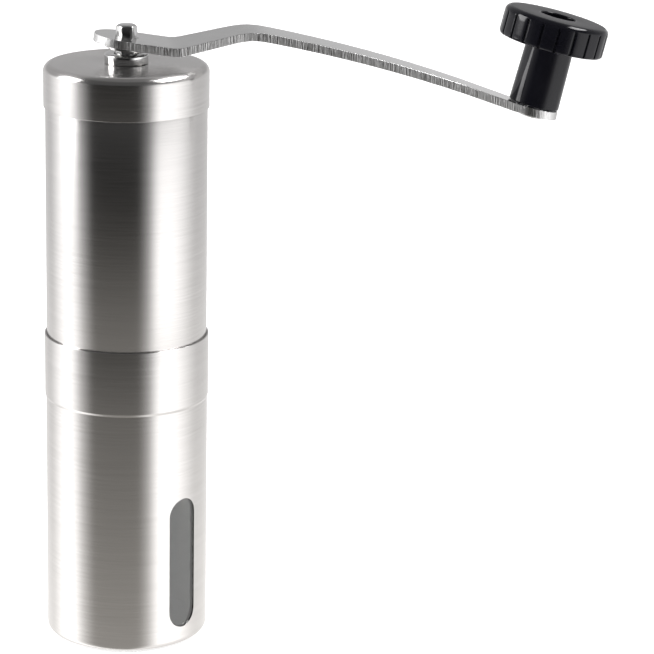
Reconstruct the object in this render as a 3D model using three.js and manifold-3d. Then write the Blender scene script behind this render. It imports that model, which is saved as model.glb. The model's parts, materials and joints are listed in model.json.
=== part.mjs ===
// A hand crank coffee grinder: a slim steel cylinder in two halves, with a bean hopper and a ceramic
// burr set above, a catch container with a sight window below, and a lift-off crank on top.
// Millimetres, +Z up. The origin is the centre of the container's base, and the crank points to +X.
import * as THREE from 'three';
import { mergeVertices } from 'three/addons/utils/BufferGeometryUtils.js';
import Module from 'manifold-3d';

const wasm = await Module();
wasm.setup();

// ---- Driving dimensions ------------------------------------------------------------------------
const TUBE_R = 23.5; // hopper tube, outside
const TUBE_WALL = 0.5;
const CUP_R = 23.8; // container, outside
const CUP_WALL = 0.6;
const CUP_FLOOR = 0.8;
const CUP_CORNER = 1.8;
const COLLAR_R = 24.1; // the container's widened mouth
const COLLAR_BOTTOM = 72.8;
const COLLAR_TOP = 92.1;
const COLLAR_STEP = 0.7; // height of the small cone below the collar
const SLIDE_GAP = 0.08; // between the shells that slide on each other
const SEAT_Z = COLLAR_BOTTOM + 1.1; // ledge inside the mouth that the hopper tube stands on
const TUBE_TOP = 170.2;

const LID_R = 24;
const LID_BOTTOM = 159.9;
const LID_TOP = 172.4;
const LID_WALL = 0.42;
const LID_ROOF = 0.6;
const LID_CORNER = 2.3;

const WINDOW_ANGLE = THREE.MathUtils.degToRad(-50.5); // round the cup from the crank
const WINDOW_WIDTH = 10.2;
const WINDOW_LOW = 5.5;
const WINDOW_HIGH = 45.6;

const SHAFT_R = 3.2;
const HEX_R = 3.1; // across corners / 2
const THREAD_R = 2.5;
const SHAFT_TOP = 183.6;
const SHAFT_BOTTOM = 53.5;
const TOP_HEX_BOTTOM = 175.4;
const BURR_HEX_BOTTOM = 66.8;
const BURR_HEX_TOP = 90.5;
const CLIP_Z = 101.1;
const CLIP_HEIGHT = 0.8;
const BUSH_R = 4.25;
const BUSH_FLANGE_R = 5.6;
const HUB_R = 5.8;
const BUSH_BORE = SHAFT_R + 0.1;

const BURR_SEAT_R = 17.3;
const BURR_BOTTOM = 66.4;
const BURR_TOP = 84.3;
const CORE_R = 5.9;
const CORE_BOTTOM = 64.9;
const CORE_TOP = 84.2;
const SPRING_LOW = 85.2;
const SPRING_HIGH = 91;
const NUT_LOW = 57.2;
const NUT_HIGH = 64.75;
const CARRIER_LOW = 62.5;
const CARRIER_HIGH = 104;
const LOWER_HUB_LOW = 92.2; // the bearings that hold the shaft's two bushings
const LOWER_HUB_HIGH = 100;
const BRIDGE_LOW = 141;
const BRIDGE_HIGH = 148;

const PLATE = 2.4; // crank plate thickness
const HUB_Z = 180.05; // top of the crank plate on the shaft's axis
const DROOP = THREE.MathUtils.degToRad(8.5); // the loose socket lets the crank sag on the shaft
const HUB_EYE_R = 9.5;
const BEND_WIDE = 9.3; // half widths of the plate, and where along it they are
const BEND_WIDE_AT = 14.5;
const BEND_SLIM = 7.1;
const BEND_SLIM_AT = 36;
const END_SLIM = 5.5;
const BOSS_R = 5.7;
const BOSS_HEIGHT = 1;
const KNOB_REACH = 123.6; // along the plate, shaft to knob
const KNOB_EYE_R = 7.5;
const RIVET_R = 2.5;
const WASHER = 0.5; // thickness of the washer under the knob
const WASHER_R = 6.6;

const STEM_R = 7.45;
const STEM_HEIGHT = 18;
const GRIP_R = 15.6;
const GRIP_HEIGHT = 8.9;
const GRIP_BEVEL = 1.85;
const GRIP_GROOVES = 20;
const RECESS_R = 5.3;
const RECESS_DEPTH = 8;

const REST = 0.3; // gap kept between pieces that rest on each other inside the tilted crank
const SHELL_STEPS = 48;
const ROUND_STEPS = 28;

// ---- Materials ---------------------------------------------------------------------------------
const brushedSteel = { color: 0xb9b7b2, metalness: 1, roughness: 0.34 };
const polishedSteel = { color: 0xc9c9c8, metalness: 1, roughness: 0.16 };
const springSteel = { color: 0x9da0a3, metalness: 1, roughness: 0.3 };
const brass = { color: 0xb9924a, metalness: 1, roughness: 0.3 };
const blackGloss = { color: 0x0b0b0d, metalness: 0, roughness: 0.16 };
const blackMatt = { color: 0x1b1b1d, metalness: 0, roughness: 0.55 };
const ceramic = { color: 0xe9e6dd, metalness: 0, roughness: 0.42 };
const clearPlastic = { color: 0xdfe6e4, metalness: 0, roughness: 0.08, transparent: true, opacity: 0.35 };

// ---- Solid helpers -----------------------------------------------------------------------------
// A closed three.js geometry as a solid: shared vertices merged, slivers at poles dropped.
function solidOf(geometry) {
  const bare = geometry.clone();
  bare.deleteAttribute('normal');
  bare.deleteAttribute('uv');
  const merged = mergeVertices(bare, 1e-4);
  const corners = merged.index.array;
  const triVerts = [];
  for (let i = 0; i < corners.length; i += 3) {
    const [a, b, c] = [corners[i], corners[i + 1], corners[i + 2]];
    if (a !== b && b !== c && c !== a) triVerts.push(a, b, c);
  }
  const vertProperties = new Float32Array(merged.attributes.position.array);
  const mesh = new wasm.Mesh({ numProp: 3, vertProperties, triVerts: Uint32Array.from(triVerts) });
  return new wasm.Manifold(mesh);
}

function geometryOf(solid) {
  const mesh = solid.getMesh();
  const geometry = new THREE.BufferGeometry();
  geometry.setAttribute('position', new THREE.BufferAttribute(Float32Array.from(mesh.vertProperties), 3));
  geometry.setIndex(new THREE.BufferAttribute(Uint32Array.from(mesh.triVerts), 1));
  geometry.computeVertexNormals();
  return geometry;
}

// A profile of [radius, height] points spun round Z. It runs up the outside and down the inside.
function spun(points, steps = ROUND_STEPS) {
  const profile = points.map(([r, z]) => new THREE.Vector2(r, z));
  const geometry = new THREE.LatheGeometry(profile, steps);
  return geometry.rotateX(Math.PI / 2);
}

// A spun ring with a rectangular section.
function ring(inner, outer, low, high, steps = ROUND_STEPS) {
  return spun([[inner, low], [outer, low], [outer, high], [inner, high], [inner, low]], steps);
}

// Points of a round corner of a profile, from one angle to another in degrees.
function corner(centreR, centreZ, radius, from, to, steps = 3) {
  return Array.from({ length: steps + 1 }, (_, i) => {
    const angle = THREE.MathUtils.degToRad(from + ((to - from) * i) / steps);
    return [centreR + radius * Math.cos(angle), centreZ + radius * Math.sin(angle)];
  });
}

// A six-sided prism with its corners on +X and -X.
function hexPrism(cornerR, low, high) {
  const prism = new THREE.CylinderGeometry(cornerR, cornerR, high - low, 6);
  return prism.rotateY(Math.PI / 6).rotateX(Math.PI / 2).translate(0, 0, (low + high) / 2);
}

// A bar that runs out from the axis at an angle.
function spoke(inner, outer, width, low, high, angle) {
  const bar = new THREE.BoxGeometry(outer - inner, width, high - low);
  return bar.translate((inner + outer) / 2, 0, (low + high) / 2).rotateZ(angle);
}

// An outline with round ends, as wide as it is deep at the ends, pushed out through the cup wall.
function windowPlug(width, low, high, innerR, outerR) {
  const half = width / 2;
  const outline = new THREE.Shape();
  outline.absarc(0, low + half, half, Math.PI, 2 * Math.PI);
  outline.absarc(0, high - half, half, 0, Math.PI);
  const plug = new THREE.ExtrudeGeometry(outline, {
    depth: outerR - innerR, bevelEnabled: false, curveSegments: 10,
  });
  plug.translate(0, 0, innerR);
  const side = new THREE.Vector3(-Math.sin(WINDOW_ANGLE), Math.cos(WINDOW_ANGLE), 0);
  const up = new THREE.Vector3(0, 0, 1);
  const out = new THREE.Vector3(Math.cos(WINDOW_ANGLE), Math.sin(WINDOW_ANGLE), 0);
  return plug.applyMatrix4(new THREE.Matrix4().makeBasis(side, up, out));
}

// Moves each point of a spun shape in or out: depthAt gives how far, from its angle, radius and height.
function fluted(geometry, depthAt) {
  const points = geometry.attributes.position;
  for (let i = 0; i < points.count; i += 1) {
    const [x, y, z] = [points.getX(i), points.getY(i), points.getZ(i)];
    const radius = Math.hypot(x, y);
    const scale = radius > 1e-6 ? 1 + depthAt(Math.atan2(y, x), radius, z) / radius : 1;
    points.setXY(i, x * scale, y * scale);
  }
  return geometry;
}

function piece(name, geometry, finish) {
  const part = new THREE.Mesh(geometry, new THREE.MeshStandardMaterial(finish));
  part.name = name;
  return part;
}

// ---- Container ---------------------------------------------------------------------------------
function containerShell() {
  const bore = CUP_R - CUP_WALL;
  const mouth = TUBE_R + SLIDE_GAP;
  const innerCorner = CUP_CORNER - 0.4;
  const shell = solidOf(spun([
    [0, 0],
    ...corner(CUP_R - CUP_CORNER, CUP_CORNER, CUP_CORNER, -90, 0),
    [CUP_R, COLLAR_BOTTOM],
    [COLLAR_R, COLLAR_BOTTOM + COLLAR_STEP],
    [COLLAR_R, COLLAR_TOP - 0.15],
    [COLLAR_R - 0.15, COLLAR_TOP],
    [mouth, COLLAR_TOP],
    [mouth, SEAT_Z],
    [bore, SEAT_Z],
    ...corner(bore - innerCorner, CUP_FLOOR + innerCorner, innerCorner, 0, -90, 2),
    [0, CUP_FLOOR],
  ], SHELL_STEPS));
  const opening = solidOf(windowPlug(WINDOW_WIDTH, WINDOW_LOW, WINDOW_HIGH, 15, 30));
  return piece('container_shell', geometryOf(shell.subtract(opening)), brushedSteel);
}

// A clear plate that follows the inside of the cup, with a raised pad that fills the opening.
function windowPane() {
  const bore = CUP_R - CUP_WALL;
  const border = 2;
  const gap = 0.12;
  const backing = solidOf(ring(bore - 0.75, bore - gap, 0, WINDOW_HIGH + 20, SHELL_STEPS))
    .intersect(solidOf(windowPlug(
      WINDOW_WIDTH + 2 * border, WINDOW_LOW - border, WINDOW_HIGH + border, 15, 30,
    )));
  const pad = solidOf(ring(bore - 0.4, CUP_R - 0.25, 0, WINDOW_HIGH + 20, SHELL_STEPS))
    .intersect(solidOf(windowPlug(
      WINDOW_WIDTH - 2 * gap, WINDOW_LOW + gap, WINDOW_HIGH - gap, 15, 30,
    )));
  return piece('window_pane', geometryOf(backing.add(pad)), clearPlastic);
}

// ---- Hopper ------------------------------------------------------------------------------------
function hopperTube() {
  const low = SEAT_Z + 0.05;
  return piece('hopper_tube', ring(TUBE_R - TUBE_WALL, TUBE_R, low, TUBE_TOP, SHELL_STEPS), brushedSteel);
}

// A funnel that fills the foot of the hopper, with the seat of the fixed burr below it and a
// three-armed bearing for the shaft across its throat.
function burrCarrier() {
  const rim = TUBE_R - TUBE_WALL - 0.1;
  const rimWall = 0.9;
  const seatWall = BURR_SEAT_R + 2;
  const seatTop = BURR_TOP + 0.1;
  const [flangeLow, flangeHigh] = [SEAT_Z + 0.4, SEAT_Z + 3.6];
  const [throat, throatTop] = [13.6, 88.5];
  const [coneLow, coneHigh] = [94.55, 101];
  const [armInner, armOuter, armWidth, armLow, armHigh] = [5.2, 19, 3.2, 92.6, 97];
  let body = solidOf(spun([
    [BURR_SEAT_R, CARRIER_LOW],
    [seatWall, CARRIER_LOW],
    [seatWall, flangeLow],
    [rim, flangeLow],
    [rim, flangeHigh],
    [seatWall, flangeHigh],
    [seatWall, coneLow],
    [rim, coneHigh],
    [rim, CARRIER_HIGH],
    [rim - rimWall, CARRIER_HIGH],
    [throat, throatTop],
    [throat, seatTop],
    [BURR_SEAT_R, seatTop],
    [BURR_SEAT_R, CARRIER_LOW],
  ], 36));
  body = body.add(solidOf(ring(BUSH_R + 0.1, HUB_R, LOWER_HUB_LOW, LOWER_HUB_HIGH, 24)));
  for (let arm = 0; arm < 3; arm += 1) {
    const angle = ((arm + 0.25) * 2 * Math.PI) / 3;
    body = body.add(solidOf(spoke(armInner, armOuter, armWidth, armLow, armHigh, angle)));
  }
  return piece('burr_carrier', geometryOf(body), blackMatt);
}

// A plain bearing pushed down into a hub, with a thin flange that rests on top of it.
function bushing(name, hubLow, hubHigh) {
  const [low, shoulder, top] = [hubLow + 0.2, hubHigh + 0.1, hubHigh + 0.8];
  return piece(name, spun([
    [BUSH_BORE, low], [BUSH_R, low], [BUSH_R, shoulder], [BUSH_FLANGE_R, shoulder],
    [BUSH_FLANGE_R, top], [BUSH_BORE, top], [BUSH_BORE, low],
  ], 24), brass);
}

// A ring with three arms that steadies the top of the shaft and leaves room to pour beans past.
function upperBridge() {
  const rim = TUBE_R - TUBE_WALL - 0.15;
  const rimWall = 1.6;
  const [armInner, armWidth] = [5.2, 3];
  let body = solidOf(ring(rim - rimWall, rim, BRIDGE_LOW, BRIDGE_HIGH, 42));
  body = body.add(solidOf(ring(BUSH_R + 0.1, HUB_R + 0.2, BRIDGE_LOW - 1, BRIDGE_HIGH + 1, 24)));
  for (let arm = 0; arm < 3; arm += 1) {
    const angle = ((arm + 0.75) * 2 * Math.PI) / 3;
    body = body.add(solidOf(spoke(armInner, rim - 0.6, armWidth, BRIDGE_LOW + 1, BRIDGE_HIGH - 2, angle)));
  }
  return piece('upper_bridge', geometryOf(body), blackMatt);
}

// The fixed burr: a ring whose bore flares towards the bottom, cut with slanted teeth.
function outerBurr() {
  const wall = BURR_SEAT_R - 0.1;
  const teeth = 18;
  const blank = spun([
    [15.65, BURR_BOTTOM], [wall, BURR_BOTTOM], [wall, BURR_TOP], [12.6, BURR_TOP],
    [13.2, 80.2], [13.9, 76], [14.9, 72], [15.55, 69.5], [15.65, BURR_BOTTOM],
  ], 54);
  const cut = fluted(blank, (angle, radius, z) => {
    if (radius > 15.9) return 0;
    const wave = 0.5 + 0.5 * Math.cos(teeth * (angle + (z - BURR_BOTTOM) * 0.018));
    return 0.8 * wave;
  });
  return piece('outer_burr', geometryOf(solidOf(cut)), ceramic);
}

function burrRetainer() {
  const [bore, low] = [15.9, 63.6];
  return piece('burr_retainer', ring(bore, BURR_SEAT_R - 0.1, low, BURR_BOTTOM - 0.1, 36), blackMatt);
}

// ---- Lid ---------------------------------------------------------------------------------------
function lid() {
  const bore = LID_R - LID_WALL;
  const innerCorner = LID_CORNER - LID_WALL;
  const roof = LID_TOP - LID_ROOF;
  const hole = BUSH_R + 0.35;
  return piece('lid', spun([
    [bore, LID_BOTTOM],
    [LID_R, LID_BOTTOM],
    ...corner(LID_R - LID_CORNER, LID_TOP - LID_CORNER, LID_CORNER, 0, 90),
    [hole, LID_TOP],
    [hole, roof],
    ...corner(bore - innerCorner, roof - innerCorner, innerCorner, 90, 0),
    [bore, LID_BOTTOM],
  ], SHELL_STEPS), brushedSteel);
}

// A short collar round the shaft, riveted through the middle of the lid.
function lidBushing() {
  const bore = SHAFT_R + 0.4;
  const spigot = BUSH_R + 0.2;
  const [low, lip] = [170.9, LID_TOP - LID_ROOF - 0.1];
  const [flangeR, top, chamfer] = [6.35, 175.2, 0.4];
  return piece('lid_bushing', spun([
    [bore, low], [BUSH_FLANGE_R, low], [BUSH_FLANGE_R, lip], [spigot, lip], [spigot, LID_TOP + 0.05],
    [flangeR, LID_TOP + 0.05], [flangeR, top - chamfer], [flangeR - chamfer, top], [bore, top], [bore, low],
  ], 32), polishedSteel);
}

// ---- Shaft -------------------------------------------------------------------------------------
// Round in its bearings, six-sided where it carries the crank and the turning burr, threaded below.
function driveShaft() {
  const groove = 2.7;
  const lowHexCore = 2.6;
  const [pointR, pointHeight] = [2.3, 1.1];
  const [grooveLow, grooveHigh] = [CLIP_Z - 0.1, CLIP_Z + CLIP_HEIGHT + 0.1];
  const lowHex = solidOf(hexPrism(HEX_R, BURR_HEX_BOTTOM, BURR_HEX_TOP));
  const chamfer = solidOf(spun([
    [0, TOP_HEX_BOTTOM - 1], [SHAFT_R + 0.8, TOP_HEX_BOTTOM - 1], [SHAFT_R + 0.8, SHAFT_TOP - pointHeight],
    [pointR, SHAFT_TOP], [0, SHAFT_TOP],
  ], 24));
  const topHex = solidOf(hexPrism(HEX_R, TOP_HEX_BOTTOM - 0.5, SHAFT_TOP)).intersect(chamfer);
  const rod = solidOf(spun([
    [0, SHAFT_BOTTOM], [THREAD_R - 0.5, SHAFT_BOTTOM], [THREAD_R, SHAFT_BOTTOM + 0.5],
    [THREAD_R, BURR_HEX_BOTTOM + 1], [lowHexCore, BURR_HEX_BOTTOM + 1], [lowHexCore, BURR_HEX_TOP],
    [SHAFT_R, BURR_HEX_TOP], [SHAFT_R, grooveLow], [groove, grooveLow], [groove, grooveHigh],
    [SHAFT_R, grooveHigh], [SHAFT_R, TOP_HEX_BOTTOM], [0, TOP_HEX_BOTTOM],
  ], 24));
  return piece('drive_shaft', geometryOf(rod.add(lowHex).add(topHex)), polishedSteel);
}

// An open ring that snaps into the shaft's groove and carries the shaft on the lower bushing.
function shaftClip() {
  const outline = new THREE.Shape();
  const [inner, outer, mouth] = [2.85, 5.4, THREE.MathUtils.degToRad(38)];
  outline.absarc(0, 0, outer, mouth, 2 * Math.PI - mouth, false);
  outline.absarc(0, 0, inner, 2 * Math.PI - mouth, mouth, true);
  const options = { depth: CLIP_HEIGHT, bevelEnabled: false, curveSegments: 14 };
  const clip = new THREE.ExtrudeGeometry(outline, options).translate(0, 0, CLIP_Z);
  return piece('shaft_clip', geometryOf(solidOf(clip)), springSteel);
}

function thrustWasher() {
  const shape = ring(SHAFT_R + 0.15, 6, SPRING_HIGH + 0.1, SPRING_HIGH + 0.9, 24);
  return piece('thrust_washer', shape, springSteel);
}

// ---- Turning burr and its adjuster -------------------------------------------------------------
const SPRING_WIRE_R = 0.38;
const END_ROOM = SPRING_WIRE_R + 0.02;

// A helix between two heights: its ends lie flat, as ground spring ends do.
class Coil extends THREE.Curve {
  getPoint(t) {
    const [turns, radius] = [3.5, 4.6];
    const angle = 2 * Math.PI * turns * t;
    const rise = THREE.MathUtils.smoothstep(t, 0.06, 0.94) * 0.35 + t * 0.65;
    const z = SPRING_LOW + END_ROOM + (SPRING_HIGH - SPRING_LOW - 2 * END_ROOM) * rise;
    return new THREE.Vector3(radius * Math.cos(angle), radius * Math.sin(angle), z);
  }
}

function spring() {
  const section = new THREE.Shape();
  section.absarc(0, 0, SPRING_WIRE_R, 0, 2 * Math.PI);
  const coil = new THREE.ExtrudeGeometry(section, { steps: 52, curveSegments: 3, extrudePath: new Coil() });
  return piece('spring', geometryOf(solidOf(coil)), springSteel);
}

function springWasher() {
  return piece('spring_washer', ring(HEX_R + 0.2, 5.8, CORE_TOP + 0.1, SPRING_LOW - 0.1, 24), springSteel);
}

// The turning burr: a cone, narrow at the top, cut with slanted teeth.
function innerBurr() {
  const teeth = 18;
  const [low, high, bore] = [67, 82, CORE_R + 0.1];
  const blank = spun([
    [bore, low], [15, low], [14.9, 69], [13.6, 72.5], [12.2, 76], [10.4, 79], [8.6, high],
    [bore, high], [bore, low],
  ], 54);
  const cut = fluted(blank, (angle, radius, z) => {
    if (radius < CORE_R + 0.5) return 0;
    const wave = 0.5 - 0.5 * Math.cos(teeth * (angle - (z - low) * 0.03));
    return -(0.7 + (0.9 * (z - low)) / (high - low)) * wave;
  });
  return piece('inner_burr', geometryOf(solidOf(cut)), ceramic);
}

// The plastic heart of the turning burr: a six-sided bore that slides on the shaft, and a flange.
function burrCore() {
  const body = solidOf(spun([
    [0, CORE_BOTTOM], [12.5, CORE_BOTTOM], [12.5, 66.9], [CORE_R, 66.9], [CORE_R, 82.3],
    [5.4, CORE_TOP], [0, CORE_TOP],
  ], ROUND_STEPS));
  const bore = solidOf(hexPrism(HEX_R + 0.18, CORE_BOTTOM - 1, CORE_TOP + 1));
  return piece('burr_core', geometryOf(body.subtract(bore)), blackMatt);
}

// The grind adjuster: a dial with ten finger lobes that screws up and down the shaft's thread.
function adjusterNut() {
  const lobes = 10;
  const body = spun([
    [4.1, NUT_LOW], [8.6, NUT_LOW], [9.2, NUT_LOW + 0.6], [9.2, NUT_HIGH - 1.8], [9.2, NUT_HIGH - 1.4],
    [10.2, NUT_HIGH - 1], [10.2, NUT_HIGH], [4.1, NUT_HIGH], [4.1, NUT_LOW],
  ], 40);
  const cut = fluted(body, (angle, radius, z) => {
    if (radius < 5 || z > NUT_HIGH - 1.5) return 0;
    return -0.9 * (0.5 - 0.5 * Math.cos(lobes * angle));
  });
  return piece('adjuster_nut', geometryOf(solidOf(cut)), blackMatt);
}

function adjusterInsert() {
  return piece('adjuster_insert', ring(THREAD_R + 0.1, 4, NUT_LOW + 0.2, NUT_HIGH - 0.15, 24), brass);
}

// ---- Crank: pieces in the crank's own frame, z = 0 at the middle of the plate ---------------------
// Slope of the plate, in radians, at a distance along it from the shaft.
const [HUB_END, FIRST_BEND] = [11.4, 6.3];
const [SECOND_START, SECOND_BEND] = [29.6, 12.7];
const [EYE_START, EYE_BEND] = [115.5, 4];
const RISE = DROOP + 0.2157;
const FALL = DROOP - 0.2034;
const SAG_RATE = -0.00222;
const EYE_SLOPE = DROOP - 0.24;
const { clamp, lerp, smoothstep } = THREE.MathUtils;

function plateSlope(s) {
  const rising = RISE * smoothstep(s, HUB_END, HUB_END + FIRST_BEND);
  const falling = (FALL - RISE) * smoothstep(s, SECOND_START, SECOND_START + SECOND_BEND);
  const sagStart = SECOND_START + SECOND_BEND;
  const sag = SAG_RATE * (clamp(s, sagStart, EYE_START) - sagStart);
  const eyeTurn = EYE_SLOPE - FALL - SAG_RATE * (EYE_START - sagStart);
  return rising + falling + sag + eyeTurn * smoothstep(s, EYE_START, EYE_START + EYE_BEND);
}

// Place on the plate's middle line at a distance along it, walked in short steps from the shaft.
function plateAt(s) {
  const count = 200;
  const step = s / count;
  let [x, z] = [0, 0];
  for (let i = 0; i < count; i += 1) {
    const slope = plateSlope((i + 0.5) * step);
    x += step * Math.cos(slope);
    z += step * Math.sin(slope);
  }
  return { x, z, slope: plateSlope(s) };
}

// The plate is round at both ends and tapers between them, with a swelling round the knob's axle.
function plateHalfWidth(s) {
  if (s < 0) return Math.sqrt(HUB_EYE_R ** 2 - s ** 2);
  const eyeHalf = Math.sqrt(Math.max(KNOB_EYE_R ** 2 - (s - KNOB_REACH) ** 2, 0));
  if (s > KNOB_REACH) return eyeHalf;
  if (s < BEND_WIDE_AT) return lerp(HUB_EYE_R, BEND_WIDE, s / BEND_WIDE_AT);
  const narrowing = (s - BEND_WIDE_AT) / (BEND_SLIM_AT - BEND_WIDE_AT);
  if (s < BEND_SLIM_AT) return lerp(BEND_WIDE, BEND_SLIM, narrowing);
  const along = (s - BEND_SLIM_AT) / (EYE_START + EYE_BEND - BEND_SLIM_AT);
  return Math.max(lerp(BEND_SLIM, END_SLIM, along), eyeHalf);
}

// Distances along the plate at which its outline has a point: close together round the two ends.
function plateStations() {
  const ends = [14, 26, 38, 52, 68].map((degrees) => Math.cos(THREE.MathUtils.degToRad(degrees)));
  const middle = Array.from({ length: 60 }, (_, i) => (i * (KNOB_REACH - KNOB_EYE_R)) / 59);
  const knobEnd = [...ends.map((c) => -c), 0, ...ends.slice().reverse()];
  return [
    ...ends.map((c) => -HUB_EYE_R * c),
    ...middle,
    ...knobEnd.filter((c) => c > -0.75).map((c) => KNOB_REACH + KNOB_EYE_R * c),
  ];
}

function crankArm() {
  const stations = plateStations();
  const spans = stations.length - 1;
  const strip = new THREE.BoxGeometry(spans, 2, PLATE, spans, 1, 1);
  const points = strip.attributes.position;
  for (let i = 0; i < points.count; i += 1) {
    const s = stations[Math.round(points.getX(i) + spans / 2)];
    const { x, z, slope } = plateAt(s);
    const lift = points.getZ(i);
    const across = points.getY(i) * plateHalfWidth(s);
    points.setXYZ(i, x - lift * Math.sin(slope), across, z + lift * Math.cos(slope));
  }
  const end = plateAt(KNOB_REACH);
  const hole = new THREE.CylinderGeometry(RIVET_R + 0.15, RIVET_R + 0.15, 6, 20).rotateX(Math.PI / 2)
    .rotateY(-end.slope).translate(end.x, 0, end.z);
  const socket = hexPrism(HEX_R + 0.42, -3, 3);
  const arm = solidOf(strip).subtract(solidOf(socket)).subtract(solidOf(hole));
  return piece('crank_arm', geometryOf(arm), polishedSteel);
}

function crankBoss() {
  const top = -PLATE / 2 - REST;
  return piece('crank_boss', ring(4.1, BOSS_R, top - BOSS_HEIGHT, top, ROUND_STEPS), polishedSteel);
}

// ---- Knob: pieces in the knob's own frame, z = 0 at the foot of its stem ---------------------------
function knob() {
  const top = STEM_HEIGHT + GRIP_HEIGHT;
  const grooveTop = top - GRIP_BEVEL;
  const footR = WASHER_R + REST; // a shallow counterbore in the foot hides the washer
  const blank = spun([
    [footR, 0], [STEM_R - 0.2, 0], [STEM_R, 0.4], [STEM_R - 0.35, STEM_HEIGHT],
    [GRIP_R - 1, STEM_HEIGHT], [GRIP_R, STEM_HEIGHT + 1],
    [GRIP_R, grooveTop - 0.2],
    ...corner(GRIP_R - GRIP_BEVEL, top - GRIP_BEVEL, GRIP_BEVEL, 0, 90, 3),
    [RECESS_R + 0.3, top], [RECESS_R, top - 0.3], [RECESS_R, top - RECESS_DEPTH],
    [RIVET_R + 0.15, top - RECESS_DEPTH], [RIVET_R + 0.15, WASHER + REST],
    [footR, WASHER + REST], [footR, 0],
  ], 60);
  const cut = fluted(blank, (angle, radius, z) => {
    const onEdge = radius > GRIP_R - 1 && z > STEM_HEIGHT + 0.1 && z < grooveTop - 0.1;
    const groove = Math.cos(GRIP_GROOVES * (angle + Math.PI / 2 + Math.PI / GRIP_GROOVES));
    return onEdge && groove > 0.9 ? -0.55 : 0;
  });
  return piece('knob', geometryOf(solidOf(cut)), blackGloss);
}

// The knob's axle: a domed head in the recess, a shank through knob and plate, a peened end below.
function knobRivet() {
  const seat = STEM_HEIGHT + GRIP_HEIGHT - RECESS_DEPTH + REST;
  const under = -PLATE - 2 * REST;
  return piece('knob_rivet', spun([
    [0, under - 0.7], [2.9, under - 0.7], [3.6, under - 0.3], [3.6, under],
    [RIVET_R, under], [RIVET_R, seat],
    [4.6, seat], [4.6, seat + 0.7], [3.6, seat + 1.6], [1.8, seat + 2.1], [0, seat + 2.2],
  ], 24), polishedSteel);
}

function knobWasher() {
  return piece('knob_washer', ring(RIVET_R + 0.15, WASHER_R, 0, WASHER, 24), springSteel);
}

// ---- Assembly ----------------------------------------------------------------------------------
const eye = plateAt(KNOB_REACH);
const knobSeat = PLATE / 2 + REST; // stem foot above the middle of the plate

const knobGroup = new THREE.Group();
knobGroup.rotation.y = -eye.slope;
knobGroup.position.set(eye.x - knobSeat * Math.sin(eye.slope), 0, eye.z + knobSeat * Math.cos(eye.slope));
knobGroup.add(knob(), knobRivet(), knobWasher());

const crankGroup = new THREE.Group();
crankGroup.rotation.y = DROOP;
crankGroup.position.z = HUB_Z - PLATE / 2 / Math.cos(DROOP);
crankGroup.add(crankArm(), crankBoss(), knobGroup);

const grinder = new THREE.Group();
grinder.add(
  containerShell(), windowPane(),
  hopperTube(), burrCarrier(), bushing('lower_bushing', LOWER_HUB_LOW, LOWER_HUB_HIGH),
  upperBridge(), bushing('upper_bushing', BRIDGE_LOW - 1, BRIDGE_HIGH + 1), outerBurr(), burrRetainer(),
  lid(), lidBushing(),
  driveShaft(), shaftClip(), thrustWasher(), spring(),
  springWasher(), innerBurr(), burrCore(),
  adjusterNut(), adjusterInsert(),
  crankGroup,
);

export default grinder;
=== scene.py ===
import json
import math

import bpy
from mathutils import Matrix, Vector


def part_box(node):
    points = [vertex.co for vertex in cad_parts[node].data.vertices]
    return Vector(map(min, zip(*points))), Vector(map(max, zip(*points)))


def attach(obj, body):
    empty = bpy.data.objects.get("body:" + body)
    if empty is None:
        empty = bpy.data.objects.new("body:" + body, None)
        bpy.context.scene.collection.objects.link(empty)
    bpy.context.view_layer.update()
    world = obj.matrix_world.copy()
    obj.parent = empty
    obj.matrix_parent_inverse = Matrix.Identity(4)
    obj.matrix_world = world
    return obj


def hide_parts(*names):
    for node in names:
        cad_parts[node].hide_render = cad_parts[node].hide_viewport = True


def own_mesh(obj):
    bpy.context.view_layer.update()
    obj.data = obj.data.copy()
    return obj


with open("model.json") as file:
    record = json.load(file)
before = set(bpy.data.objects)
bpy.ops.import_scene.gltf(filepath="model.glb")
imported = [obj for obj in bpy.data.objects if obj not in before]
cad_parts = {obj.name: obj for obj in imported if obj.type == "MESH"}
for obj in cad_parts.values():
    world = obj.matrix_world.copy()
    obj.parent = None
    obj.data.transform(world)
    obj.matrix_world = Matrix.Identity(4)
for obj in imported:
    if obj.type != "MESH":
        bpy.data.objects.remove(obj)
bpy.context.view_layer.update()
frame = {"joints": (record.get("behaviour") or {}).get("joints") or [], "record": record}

MM = 0.001
RECORD = frame["record"]
BODY_OF = {node: body for body, nodes in RECORD["behaviour"]["bodies"].items() for node in nodes}
JOINTS = {joint["name"]: joint for joint in frame["joints"]}


# ---- Sizes taken from the frame --------------------------------------------------------------
def bottom(node):
    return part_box(node)[0].z / MM


def top(node):
    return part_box(node)[1].z / MM


def reach(node):
    """Outer radius of a turned node."""
    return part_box(node)[1].x / MM


TUBE_R = reach("hopper_tube")
TUBE_WALL = 0.5
COLLAR_R = reach("container_shell")
CUP_R = COLLAR_R - 0.3
CUP_WALL = 0.6
CUP_FLOOR = 0.8
CUP_CORNER = 1.8
CUP_TOP = top("container_shell")
COLLAR_LOW = CUP_TOP - 19.3
SEAT = COLLAR_LOW + 1.1  # the ledge that the hopper tube stands on
SLIDE_GAP = 0.08
WINDOW_ANGLE = math.radians(-50.5)
WINDOW_WIDTH = 10.2
WINDOW_LOW = 5.5
WINDOW_HIGH = 45.6
LID_R = reach("lid")
LID_WALL = 0.42
LID_ROOF = 0.6
LID_CORNER = 2.3
LID_TOP = top("lid")
SHAFT_R = 3.2
HEX_R = 3.1
BUSH_R = 4.25
BUSH_BORE = SHAFT_R + 0.1
BUSH_FLANGE = 5.6
BURR_SEAT_R = 17.3
BURR_TEETH = 36
CORE_R = 5.9
PLATE = 2.4
STEM_HEIGHT = 18
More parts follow.
